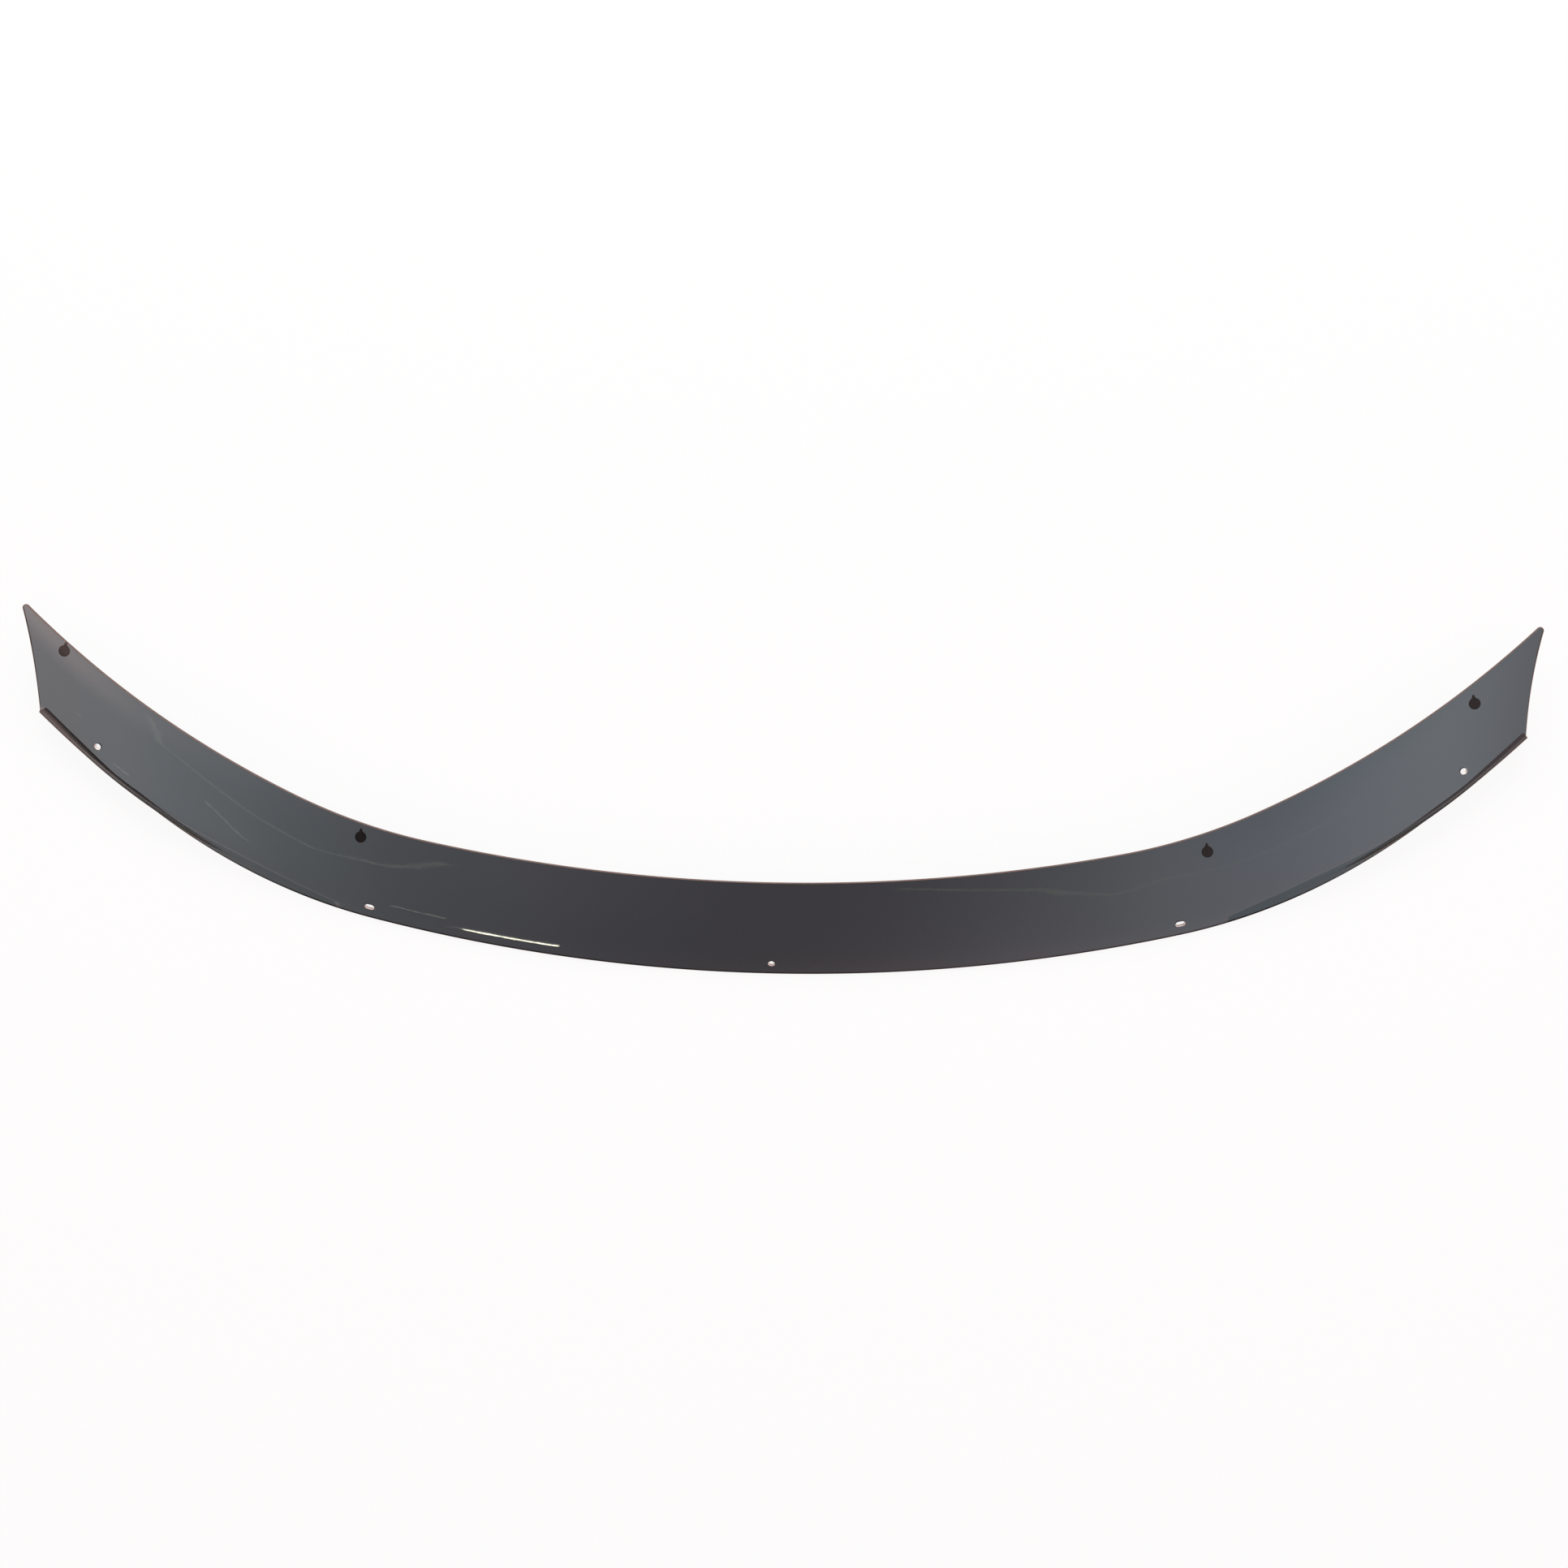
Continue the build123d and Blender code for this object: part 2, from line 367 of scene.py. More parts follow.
class Section:
    """The sheet's cross-sections at distances along the rim."""

    def __init__(self, plan, sizes, along):
        share = np.clip(1 - (plan.rim_length - along) / sizes.fold_run, 0, 1)
        share = share * share * (3 - 2 * share)

        def between(middle, end):
            return middle + (end - middle) * share

        height = between(sizes.mid_height, sizes.end_height)
        self.flange_tilt = between(sizes.mid_flange_tilt, sizes.end_flange_tilt)
        self.roll_radius = sizes.mid_roll_radius * (sizes.end_roll_radius / sizes.mid_roll_radius) ** share
        self.band_tilt = between(sizes.mid_band_tilt, sizes.end_band_tilt)
        self.crown_radius = between(sizes.mid_crown_radius, sizes.end_crown_radius)
        self.rise, self.run = np.sin(self.flange_tilt), np.cos(self.flange_tilt)
        band_rise, band_run = np.sin(self.band_tilt), np.cos(self.band_tilt)
        self.lift = sizes.sheet * self.run
        self.flange = (
            height - self.lift - self.roll_radius * (band_run - self.run) - self.crown_radius * (1 - band_run)
        ) / self.rise
        self.edge = sizes.end_draw_in * share
        # Centres of the roll and of the arched band, and the insets where they begin
        self.roll_start = self.edge + self.flange * self.run
        self.roll_u = self.roll_start + self.roll_radius * self.rise
        self.roll_z = self.lift + self.flange * self.rise - self.roll_radius * self.run
        self.crown_start = self.roll_u - self.roll_radius * band_rise
        self.crown_u = self.crown_start + self.crown_radius * band_rise
        self.crown_z = self.roll_z + (self.roll_radius - self.crown_radius) * band_run

    def points(self, kind, part, depth, rear_inset, margin):
        """Insets, heights and slopes of rows that lie a depth under the upper face."""
        first = np.minimum(margin / self.flange, EDGE_SHARE)
        step = first + (1 - first) * part
        on_flange = self.flange * step
        rear_slope = np.arcsin((self.crown_u - rear_inset) / (self.crown_radius - depth))

        def by_kind(flange, roll, crown):
            return np.where(kind == FLANGE, flange, np.where(kind == ROLL, roll, crown))

        slope = by_kind(
            self.flange_tilt,
            self.flange_tilt + (self.band_tilt - self.flange_tilt) * part,
            self.band_tilt + (rear_slope - self.band_tilt) * part,
        )
        roll, crown = self.roll_radius - depth, self.crown_radius - depth
        inset = by_kind(
            self.edge + on_flange * self.run + depth * self.rise,
            self.roll_u - roll * np.sin(slope),
            self.crown_u - crown * np.sin(slope),
        )
        up = by_kind(
            self.lift + on_flange * self.rise - depth * self.run,
            self.roll_z + roll * np.cos(slope),
            self.crown_z + crown * np.cos(slope),
        )
        return inset, up, slope

    def face(self, inset, depth=0.0):
        """Height and slope, at an inset, of the roll or the band at a depth under the upper face."""
        on_roll = inset < self.crown_start + depth * np.sin(self.band_tilt)
        radius = np.where(on_roll, self.roll_radius, self.crown_radius) - depth
        centre_u = np.where(on_roll, self.roll_u, self.crown_u)
        centre_z = np.where(on_roll, self.roll_z, self.crown_z)
        slope = np.arcsin((centre_u - inset) / radius)
        return centre_z + radius * np.cos(slope), slope


COLUMN_STEP = 3.0 * MM
FLANGE_ROWS, ROLL_ROWS = 8, 16
# Distances from the tip at which columns and rows stand closer, to follow its round
TIP_COLUMNS = (0, 0.12, 0.5, 1.1, 1.9, 2.9, 4.1, 5.6, 7.6)
TIP_ROWS = (0, 0.45, 1.0, 1.6, 2.3, 3.1, 4.1, 5.5, 7.4, 9.8)
PLAIN_ROWS = 13
TIP_BAND = 78.0 * MM
TIP_START = 690.0 * MM
FLAT_BAND = 0.3 * MM
ROUND_STEPS = 4
# Where the search for the slanted end starts, as a share of the square cut's place, and its halvings
SEARCH_START, HALVINGS = 0.98, 50
# Materials of the shield, by slot
POLISHED, SAWN, DRILLED = 0, 1, 2


def row_layout():
    """Kind of each row, its part of the way through that kind, and the same with rows crowded at the tip."""
    kind = [FLANGE] * FLANGE_ROWS + [ROLL] * ROLL_ROWS
    part = list(np.arange(FLANGE_ROWS) / FLANGE_ROWS) + list(np.arange(ROLL_ROWS) / ROLL_ROWS)
    close = [1 - d * MM / TIP_BAND for d in TIP_ROWS][::-1]
    crowded = list(np.linspace(0, close[0], PLAIN_ROWS + 1)[:-1]) + close
    kind += [CROWN] * len(crowded)
    even = list(np.linspace(0, 1, len(crowded)))
    return np.array(kind)[:, None], np.array(part + even)[:, None], np.array(part + crowded)[:, None]


def face_grid(outline, plan, sizes, depth, margin):
    """Points and upward normals of one face of the sheet's right half, in rows and columns."""
    kind, even, crowded = row_layout()
    close = np.array(TIP_COLUMNS) * MM
    count = int((outline.reach - close[-1]) / COLUMN_STEP)
    from_tip = np.concatenate([close[:-1], np.linspace(close[-1], outline.reach, count + 1)])
    share = (1 - from_tip[::-1] / outline.reach)[None, :]

    # Where each row meets the slanted end, by halving the interval in which it lies
    low = np.full((len(kind), 1), outline.cut * SEARCH_START)
    high = np.full((len(kind), 1), outline.reach)
    for _ in range(HALVINGS):
        middle = (low + high) / 2
        section = Section(plan, sizes, middle)
        inset = section.points(kind, crowded, depth, outline.rear_inset(middle), margin)[0]
        inside = middle < outline.end_along(inset)
        low, high = np.where(inside, middle, low), np.where(inside, high, middle)
    along = share * low
    near = np.clip((share * outline.reach - TIP_START) / (outline.cut - TIP_START), 0, 1)
    near = near * near * (3 - 2 * near)
    part = even + (crowded - even) * near
    section = Section(plan, sizes, along)
    inset, up, slope = section.points(kind, part, depth, outline.rear_inset(along), margin)
    x, y, heading = outline.place(along, inset)
    inward = np.array([-np.sin(heading), np.cos(heading)])
    normal = np.array([-np.sin(slope) * inward[0], -np.sin(slope) * inward[1], np.cos(slope)])
    return np.moveaxis(np.array([x, y, up]), 0, -1), np.moveaxis(normal, 0, -1)


def whole_grid(half, sign=(-1, 1, 1)):
    """The right half and its mirror image on the left, in one grid."""
    return np.concatenate([half[:, :0:-1] * np.array(sign), half], axis=1)


def unit(vectors):
    return vectors / np.linalg.norm(vectors, axis=-1, keepdims=True)


def rounded(start, corner, stop):
    """Rows of points that round a corner, after the first."""
    steps = np.linspace(0, 1, ROUND_STEPS + 1)[1:]
    return [(1 - t) ** 2 * start + 2 * t * (1 - t) * corner + t * t * stop for t in steps]


def new_mesh(name, points, faces, slots=None):
    mesh = bpy.data.meshes.new(name)
    mesh.from_pydata(points, [], faces)
    if slots is not None:
        mesh.polygons.foreach_set("material_index", slots)
    mesh.update()
    return mesh


def add_object(name, data):
    holder = bpy.data.objects.new(name, data)
    bpy.context.scene.collection.objects.link(holder)
    return holder


def sheet_mesh(name, plan, sizes):
    """The formed sheet as one closed mesh, its cut edges rounded."""
    margin = sizes.edge_round + FLAT_BAND
    outline = Outline(plan, margin)
    upper, upper_normal = (whole_grid(g) for g in face_grid(outline, plan, sizes, 0.0, margin))
    lower, _ = (whole_grid(g) for g in face_grid(outline, plan, sizes, sizes.sheet, margin))
    rows, columns = upper.shape[:2]
    index = np.arange(rows * columns).reshape(rows, columns)
    quads = [
        np.stack([index[:-1, :-1], index[:-1, 1:], index[1:, 1:], index[1:, :-1]], -1).reshape(-1, 4),
        np.stack([index[:-1, :-1], index[1:, :-1], index[1:, 1:], index[:-1, 1:]], -1).reshape(-1, 4)
        + index.size,
    ]
    # The border, once round: rim, right end, rear edge, left end
    border = np.concatenate([index[0, :-1], index[:-1, -1], index[-1, :0:-1], index[:0:-1, 0]])
    top, bottom = upper.reshape(-1, 3)[border], lower.reshape(-1, 3)[border]
    along = unit(np.roll(top, -1, 0) - np.roll(top, 1, 0))
    out = unit(np.cross(along, upper_normal.reshape(-1, 3)[border]))
    top_corner, bottom_corner = top + out * margin, bottom + out * margin
    down = unit(bottom_corner - top_corner)
    rings = [top + out * FLAT_BAND]
    rings += rounded(rings[0], top_corner, top_corner + down * sizes.edge_round)
    start = bottom_corner - down * sizes.edge_round
    rings += [start] + rounded(start, bottom_corner, bottom + out * FLAT_BAND)
    points = [upper.reshape(-1, 3), lower.reshape(-1, 3)] + rings
    around = len(border)
    first = 2 * index.size
    loops = [border] + [first + k * around + np.arange(around) for k in range(len(rings))]
    loops.append(border + index.size)
    for a, b in zip(loops, loops[1:]):
        quads.append(np.stack([a, b, np.roll(b, -1), np.roll(a, -1)], -1))
    # The sawn edge lies between the flat bands at both faces, which follow the two faces and end the list
    groups = [POLISHED] * 3 + [SAWN] * (len(quads) - 4) + [POLISHED]
    slots = np.concatenate([np.full(len(group), slot) for group, slot in zip(quads, groups)])
    return new_mesh(name, np.vstack(points).tolist(), np.vstack(quads).tolist(), slots)


# Steps round half a hole, and how far the cutters stand out of the sheet
HOLE_STEPS, FLARE = 20, 1.2 * MM


def hole_cutter(plan, sizes, holes):
    """Cutters for the screw holes and slots, square to the sheet and chamfered at both faces."""
    outline = Outline(plan, 0.0)
    points, faces = [], []
    slots = (plan.rim_length - holes.slot_margin, holes.slot_inset, holes.slot_length)
    end_holes = (plan.rim_length - holes.end_hole_margin, holes.end_hole_inset, holes.screw_hole)
    places = [(1, 0.0, holes.middle_hole_inset, holes.screw_hole)]
    places += [(side, *place) for place in (slots, end_holes) for side in (1, -1)]
    layers = (
        (FLARE, holes.chamfer + FLARE),
        (-holes.chamfer, 0.0),
        (holes.chamfer - sizes.sheet, 0.0),
        (-sizes.sheet - FLARE, holes.chamfer + FLARE),
    )
    for side, along, inset, overall in places:
        x, y, heading = outline.place(np.array(along), np.array(inset))
        up, slope = Section(plan, sizes, np.array(along)).face(np.array(inset))
        inward = np.array([-math.sin(heading), math.cos(heading), 0])
        forward = np.array([math.cos(heading), math.sin(heading), 0])
        normal = -math.sin(slope) * inward + math.cos(slope) * np.array([0, 0, 1])
        across = np.cross(normal, forward)
        half = (overall - holes.screw_hole) / 2
        ring = []
        for end in (1, -1):
            for step in range(HOLE_STEPS + 1):
                angle = math.pi * (step / HOLE_STEPS - 0.5) + (0 if end == 1 else math.pi)
                if half == 0 and end == -1 and step in (0, HOLE_STEPS):
                    continue
                ring.append((end * half, math.cos(angle), math.sin(angle)))
        start = len(points)
        for lift, grow in layers:
            radius = holes.screw_hole / 2 + grow
            middle = np.array([x, y, up]) + normal * lift
            for shift, c, s in ring:
                point = middle + forward * (shift + radius * c) + across * radius * s
                points.append((side * point[0], point[1], point[2]))
        n = len(ring)
        for first in range(start, start + (len(layers) - 1) * n, n):
            for i in range(n):
                j = (i + 1) % n
                face = [first + i, first + j, first + n + j, first + n + i]
                faces.append(face[:: -side])
        caps = [[start + i for i in range(n)], [start + 3 * n + i for i in range(n)][::-1]]
        faces += [cap[::side] for cap in caps]
    return add_object("hole_cutter", new_mesh("hole_cutter", points, faces, [DRILLED] * len(faces)))


def cut_holes(piece, cutter):
    """Cuts the cutter's shapes out of a piece for good."""
    modifier = piece.modifiers.new("holes", "BOOLEAN")
    modifier.operation = "DIFFERENCE"
    modifier.solver = "EXACT"
    modifier.object = cutter
    bpy.context.view_layer.update()
    cut = bpy.data.meshes.new_from_object(piece.evaluated_get(bpy.context.evaluated_depsgraph_get()))
    piece.modifiers.clear()
    piece.data = cut
    bpy.data.objects.remove(cutter)


# How far the adhesive wets into the acrylic's face, and the film's cut edge
MARK_SINK = 0.05 * MM
MARK_EDGE = 0.08 * MM
# Inner rings of a mark's faces, as shares of its outline, and steps round its nub, hollows and round part
MARK_RINGS = (0.3, 0.65)
NUB_STEPS, HOLLOW_STEPS, MARK_STEPS = 9, 7, 40


def teardrop(marks):
    """Outline of a mark in its own plane, its nub along X."""
    nub_centre = marks.nub_reach - marks.nub_radius
    root = np.array([marks.radius - marks.nub_radius, marks.nub_root / 2])
    side = unit(np.array([nub_centre, marks.nub_radius]) - root)
    outward = np.array([-side[1], side[0]])
    # The rounding's centre stands off the nub's side and the round part by its radius
    off = root @ outward + marks.nub_fillet
    hollow = outward * off + side * math.sqrt((marks.radius + marks.nub_fillet) ** 2 - off**2)
    start = math.atan2(hollow[1], hollow[0])

    leave = math.atan2(-outward[1], -outward[0]) + math.tau
    half = np.vstack(
        [
            arc_points((nub_centre, 0), marks.nub_radius, np.linspace(0, math.pi / 2, NUB_STEPS)),
            arc_points(hollow, marks.nub_fillet, np.linspace(leave, start + math.pi, HOLLOW_STEPS)),
            arc_points((0, 0), marks.radius, np.linspace(start, math.pi, MARK_STEPS))[1:],
        ]
    )
    return np.vstack([half, half[-2:0:-1] * (1, -1)])


def mark_mesh(name, plan, sizes, marks, side, place, nub_turn):
    """A thin teardrop that follows the sheet's under side, left (-1) or right (1)."""
    outline = Outline(plan, 0.0)
    along = np.array(plan.rim_length - place[0])
    inset = outline.rear_inset(along) - place[1]
    x, y, heading = outline.place(along, inset)
    up, slope = Section(plan, sizes, along).face(inset)
    inward = np.array([-math.sin(heading) * side, math.cos(heading), 0])
    normal = -math.sin(slope) * inward + math.cos(slope) * np.array([0, 0, 1])
    nub = np.array([-math.sin(nub_turn), math.cos(nub_turn), 0])
    nub = unit(nub - normal * (nub @ normal))
    aside = np.cross(normal, nub)
    foot = np.array([side * x, y, up]) - normal * sizes.sheet
    shape = teardrop(marks)
    rim_share = 1 - MARK_EDGE / marks.radius
    layers = [(-MARK_SINK, share) for share in (*MARK_RINGS, 1.0)]
    layers += [(marks.thickness - MARK_EDGE, 1.0)]
    layers += [(marks.thickness, share) for share in (rim_share, *MARK_RINGS[::-1])]
    points = []
    for depth, share in layers:
        flat = foot + share * (shape[:, :1] * nub + shape[:, 1:] * aside)
        mirrored = flat[:, :2] * (side, 1)
        at, off = outline.along_and_inset(mirrored)
        flat[:, 2] = Section(plan, sizes, at).face(off, sizes.sheet + depth)[0]
        points.append(flat)
    n = len(shape)
    faces = [list(range(n)), list(range(len(layers) * n - n, len(layers) * n))[::-1]]
    for start in range(0, (len(layers) - 1) * n, n):
        for i in range(n):
            j = (i + 1) % n
            faces.append([start + i, start + n + i, start + n + j, start + j])
    return new_mesh(name, np.vstack(points).tolist(), faces)


def add_node(tree, kind, inputs=None, **settings):
    """A node with its settings and inputs; an input that is a socket is linked, any other is set."""
    node = tree.nodes.new("ShaderNode" + kind)
    for key, value in settings.items():
        setattr(node, key, value)
    for key, value in (inputs or {}).items():
        if isinstance(value, bpy.types.NodeSocket):
            tree.links.new(value, node.inputs[key])
        else:
            node.inputs[key].default_value = value
    return node


def noise(tree, scale, detail):
    """Noise over a piece, its scale in patterns per metre."""
    where = add_node(tree, "TexCoord").outputs["Object"]
    return add_node(tree, "TexNoise", {"Vector": where, "Scale": scale, "Detail": detail}).outputs["Fac"]


def bumped(tree, height, distance, strength=1.0, under=None):
    """Normal of an uneven face, on top of the normal of a coarser unevenness under it."""
    inputs = {"Strength": strength, "Distance": distance, "Height": height}
    if under is not None:
        inputs["Normal"] = under
    return add_node(tree, "Bump", inputs).outputs["Normal"]


def ranged(tree, value, source=(0.0, 1.0), target=(0.0, 1.0), curve="LINEAR"):
    """A value moved from one range to another."""
    names = ("Value", "From Min", "From Max", "To Min", "To Max")
    inputs = dict(zip(names, (value, *source, *target)))
    return add_node(tree, "MapRange", inputs, interpolation_type=curve).outputs["Result"]


def calculated(tree, operation, *values):
    return add_node(tree, "Math", dict(enumerate(values)), operation=operation).outputs[0]


def mixed_colour(tree, share, first, second):
    inputs = {"Factor": share, "A": (*first, 1), "B": (*second, 1)}
    return add_node(tree, "Mix", inputs, data_type="RGBA").outputs["Result"]


def mixed_shader(tree, share, first, second):
    return add_node(tree, "MixShader", {0: share, 1: first, 2: second}).outputs["Shader"]


def emission(tree, colour, strength=1.0):
    return add_node(tree, "Emission", {"Color": colour, "Strength": strength}).outputs["Emission"]


def principled(tree, colour, roughness, ior, normal, transmission=0.0):
    inputs = {
        "Base Color": colour,
        "Roughness": roughness,
        "IOR": ior,
        "Transmission Weight": transmission,
        "Normal": normal,
    }
    return add_node(tree, "BsdfPrincipled", inputs).outputs["BSDF"]


def coordinate(tree, kind, output, axis):
    """One axis of a place or direction."""
    where = add_node(tree, kind).outputs[output]
    return add_node(tree, "SeparateXYZ", {"Vector": where}).outputs[axis]


def new_material(name):
    material = bpy.data.materials.new(name)
    material.use_nodes = True
    material.node_tree.nodes.clear()
    return material, material.node_tree


ACRYLIC_IOR, VINYL_IOR = 1.49, 1.54
# Patterns per metre: forming waves of some 40 mm, the finer unevenness of the mould's felt at about 6 mm,
# wiping marks at 17 mm
WAVES, FELT, WIPING = 25.0, 160.0, 60.0
# On cut faces, tool marks about 0.5 mm apart and patches of 8 mm
TOOL_MARKS, CUT_PATCHES = 2000.0, 120.0
# The film's grain of about 0.1 mm, drawn at 0.5 mm so that it shows, and patches of 3 mm
GRAIN, FILM_PATCHES = 2000.0, 300.0
WAVE_HEIGHT, FELT_HEIGHT, FINE_HEIGHT = 0.05 * MM, 0.012 * MM, 0.02 * MM
GRAIN_STRENGTH = 0.5
# The range that most of a noise's values lie in
NOISE_RANGE = (0.3, 0.7)
# How far gloss and shade vary round their mean
GLOSS_LOW, GLOSS_HIGH = 0.6, 1.6
FILM_LOW, FILM_HIGH = 0.8, 1.2
CUT_SHADES = (0.8, 1.1)


def clear_surface(tree, finish):
    """Shader of the sheet's glossy faces, very slightly wavy from forming."""
    broad = bumped(tree, noise(tree, WAVES, 1.0), WAVE_HEIGHT)
    fine = bumped(tree, noise(tree, FELT, 0.0), FELT_HEIGHT, under=broad)
    # Faint wiping marks make the gloss a little uneven
    spread = (finish.acrylic_roughness * GLOSS_LOW, finish.acrylic_roughness * GLOSS_HIGH)
    gloss = ranged(tree, noise(tree, WIPING, 3.0), NOISE_RANGE, spread)
    # The tint is strongest in the skin, where light comes in, and the body adds the rest
    leaving = add_node(tree, "NewGeometry").outputs["Backfacing"]
    skin = mixed_colour(tree, leaving, finish.acrylic_skin, finish.acrylic_surface)
    return principled(tree, skin, gloss, ACRYLIC_IOR, fine, transmission=1.0)


def acrylic_output(tree, finish, surface):
    """Output with the tinted body that takes light out on its way through."""
    inputs = {"Color": (*finish.acrylic_clear, 1), "Density": finish.acrylic_density}
    body = add_node(tree, "VolumeAbsorption", inputs).outputs["Volume"]
    add_node(tree, "OutputMaterial", {"Surface": surface, "Volume": body})


def smoke_acrylic(finish):
    """Cast acrylic sheet tinted smoke grey, formed over a mould and polished: clear and glossy."""
    material, tree = new_material("smoke_acrylic")
    acrylic_output(tree, finish, clear_surface(tree, finish))
    return material


def cut_surface(tree, finish, colour):
    """Shader of a machined face, matt and a little streaky from the tool's marks."""
    shade = ranged(tree, noise(tree, CUT_PATCHES, 2.0), target=CUT_SHADES)
    tone = add_node(tree, "VectorMath", {0: colour, "Scale": shade}, operation="SCALE").outputs["Vector"]
    marks = bumped(tree, noise(tree, TOOL_MARKS, 1.0), FINE_HEIGHT)
    return principled(tree, tone, finish.cut_roughness, ACRYLIC_IOR, marks)


def sawn_acrylic(finish):
    """The sheet's sawn and scraped edge: brownish outside, and brown-black seen through the sheet."""
    material, tree = new_material("sawn_acrylic")
    acrylic_output(tree, finish, cut_surface(tree, finish, finish.sawn))
    return material


def drilled_acrylic(finish):
    """Wall of a drilled hole: frosted, so that it scatters light before the tint can take it out."""
    material, tree = new_material("drilled_acrylic")
    inside = add_node(tree, "NewGeometry").outputs["Backfacing"]
    frosted, clear = cut_surface(tree, finish, finish.drilled), clear_surface(tree, finish)
    acrylic_output(tree, finish, mixed_shader(tree, inside, frosted, clear))
    return material


def black_vinyl(finish):
    """Calendered black vinyl film, die-cut: matt, with a fine even grain."""
    material, tree = new_material("black_vinyl")
    grain = bumped(tree, noise(tree, GRAIN, 2.0), FINE_HEIGHT, GRAIN_STRENGTH)
    spread = (finish.vinyl_roughness * FILM_LOW, finish.vinyl_roughness * FILM_HIGH)
    gloss = ranged(tree, noise(tree, FILM_PATCHES, 2.0), target=spread)
    film = principled(tree, (*finish.vinyl, 1), gloss, VINYL_IOR, grain)
    add_node(tree, "OutputMaterial", {"Surface": film})
    return material


WHITE = (1, 1, 1, 1)
FLOOR_HALF, FLOOR_HEIGHT = 6.0, -0.5 * MM
# Where the floor brightens beside the object, as shares of the object's half width
FLOOR_SIDE = (0.9, 1.05)
# The painted shade lies on the floor, and is a little wider than the sheet, so that the slanted ends don't
# show the open floor
SHADE_HEIGHT, SHADE_SPREAD, SHADE_STEPS = -0.4 * MM, 1.02, 60
# Painted shade: the floor's light under the sheet, by the share of the way from its left to its right end
UNDER_LIGHT = (
    (0.0, "#FFFFFF"),
    (0.075, "#E7F0F3"),
    (0.15, "#C4D0D4"),
    (0.23, "#A5AEB3"),
    (0.35, "#90959D"),
    (0.5, "#6F747B"),
    (0.635, "#7E878F"),
    (0.742, "#A2B0B6"),
    (0.85, "#BECFD9"),
    (0.945, "#DAEBF1"),
    (1.0, "#C3D0D6"),
)
SOFTBOX_AT, SOFTBOX_HALF = (-1.5, 0.2, 2.5), 0.95
# The surround, by direction: where it turns from its left to its right colour, where the warm side light
# begins and how high it stands, and how it weakens downwards
SURROUND_TURN = (-0.25, 0.15)
SIDE_SPAN, SIDE_TOP = (0.62, 0.73), (0.42, 0.35)
SIDE_FADE, SIDE_LOW = (-0.05, 0.3), 0.6
LAMP_ENDS, LAMP_HEIGHT, LAMP_RADIANCE = ((1.6, 3.4, 2.2), (-1.6, 3.4, 2.2)), 1.4, 10.0
SENSOR_WIDTH = 36
# Row of tubes low before the object, whose image is the dashed streak along the roll: the places along
# the row where its line bends, and where each tube starts and stops, as shares of the row
TUBE_ROW = ((-1.196, -2.974, 0.433), (-1.122, -2.987, 0.437), (-1.004, -3.011, 0.438), (-0.884, -3.047, 0.44))
TUBE_BENDS = (0.0, 0.218, 0.618, 1.0)
TUBE_SPANS = (
    (0.011, 0.078),
    (0.09, 0.126),
    (0.138, 0.415),
    (0.43, 0.463),
    (0.48, 0.544),
    (0.553, 0.616),
    (0.626, 0.679),
    (0.691, 0.722),
    (0.732, 0.746),
    (0.76, 0.862),
    (0.872, 0.981),
    (0.995, 1.012),
)
# Single tubes and lit edges further away, seen as faint lines: their ends, width and radiance
FAINT_TUBES = (
    ((-1.395, -2.777, 0.955), (-1.31, -2.804, 0.953), 0.016, 7.0),
    ((-1.3, -2.807, 0.953), (-1.223, -2.831, 0.952), 0.016, 9.0),
    ((-1.553, -1.853, 2.176), (-1.518, -1.316, 2.55), 0.01, 2.5),
    ((-2.418, -1.745, 1.678), (-2.312, -1.76, 1.768), 0.012, 3.0),
    ((-2.367, -1.317, 2.084), (-2.317, -1.345, 2.104), 0.01, 2.5),
)
# Bends of two pale cords that hang under the ceiling
CORDS = (
    ((-0.907, -0.105), (-1.19, -0.58), (-1.15, -0.64), (-1.12, -0.96), (-1.05, -1.22), (-0.77, -0.69)),
    ((0.056, -0.507), (0.347, -0.8), (0.611, -1.404), (0.644, -1.043), (0.771, -1.024), (0.889, -0.926)),
)
CORD_HEIGHT, CORD_WIDTH, CORD_RADIANCE = 2.5, 0.024, 1.0
ROW_WIDTH, ROW_RADIANCE = 0.1, 26.0


def add_ramp(tree, factor, stops):
    """A smooth colour ramp through stops of a place and a colour."""
    node = add_node(tree, "ValToRGB", {"Fac": factor})
    ramp = node.color_ramp
    ramp.interpolation = "CARDINAL"
    ramp.elements[0].position, ramp.elements[1].position = stops[0][0], stops[-1][0]
    for place, _ in stops[1:-1]:
        ramp.elements.new(place)
    for element, (_, colour) in zip(ramp.elements, stops):
        element.color = hexed(colour)
    return node.outputs["Color"]


def mirrored_floor(tree, stage, half_span):
    """The floor as the sheet mirrors it, brighter towards the sides."""
    aside = calculated(tree, "ABSOLUTE", coordinate(tree, "NewGeometry", "Position", "X"))
    share = ranged(tree, aside, [half_span * side for side in FLOOR_SIDE], curve="SMOOTHSTEP")
    return emission(tree, mixed_colour(tree, share, stage.floor_dim, stage.side_light))


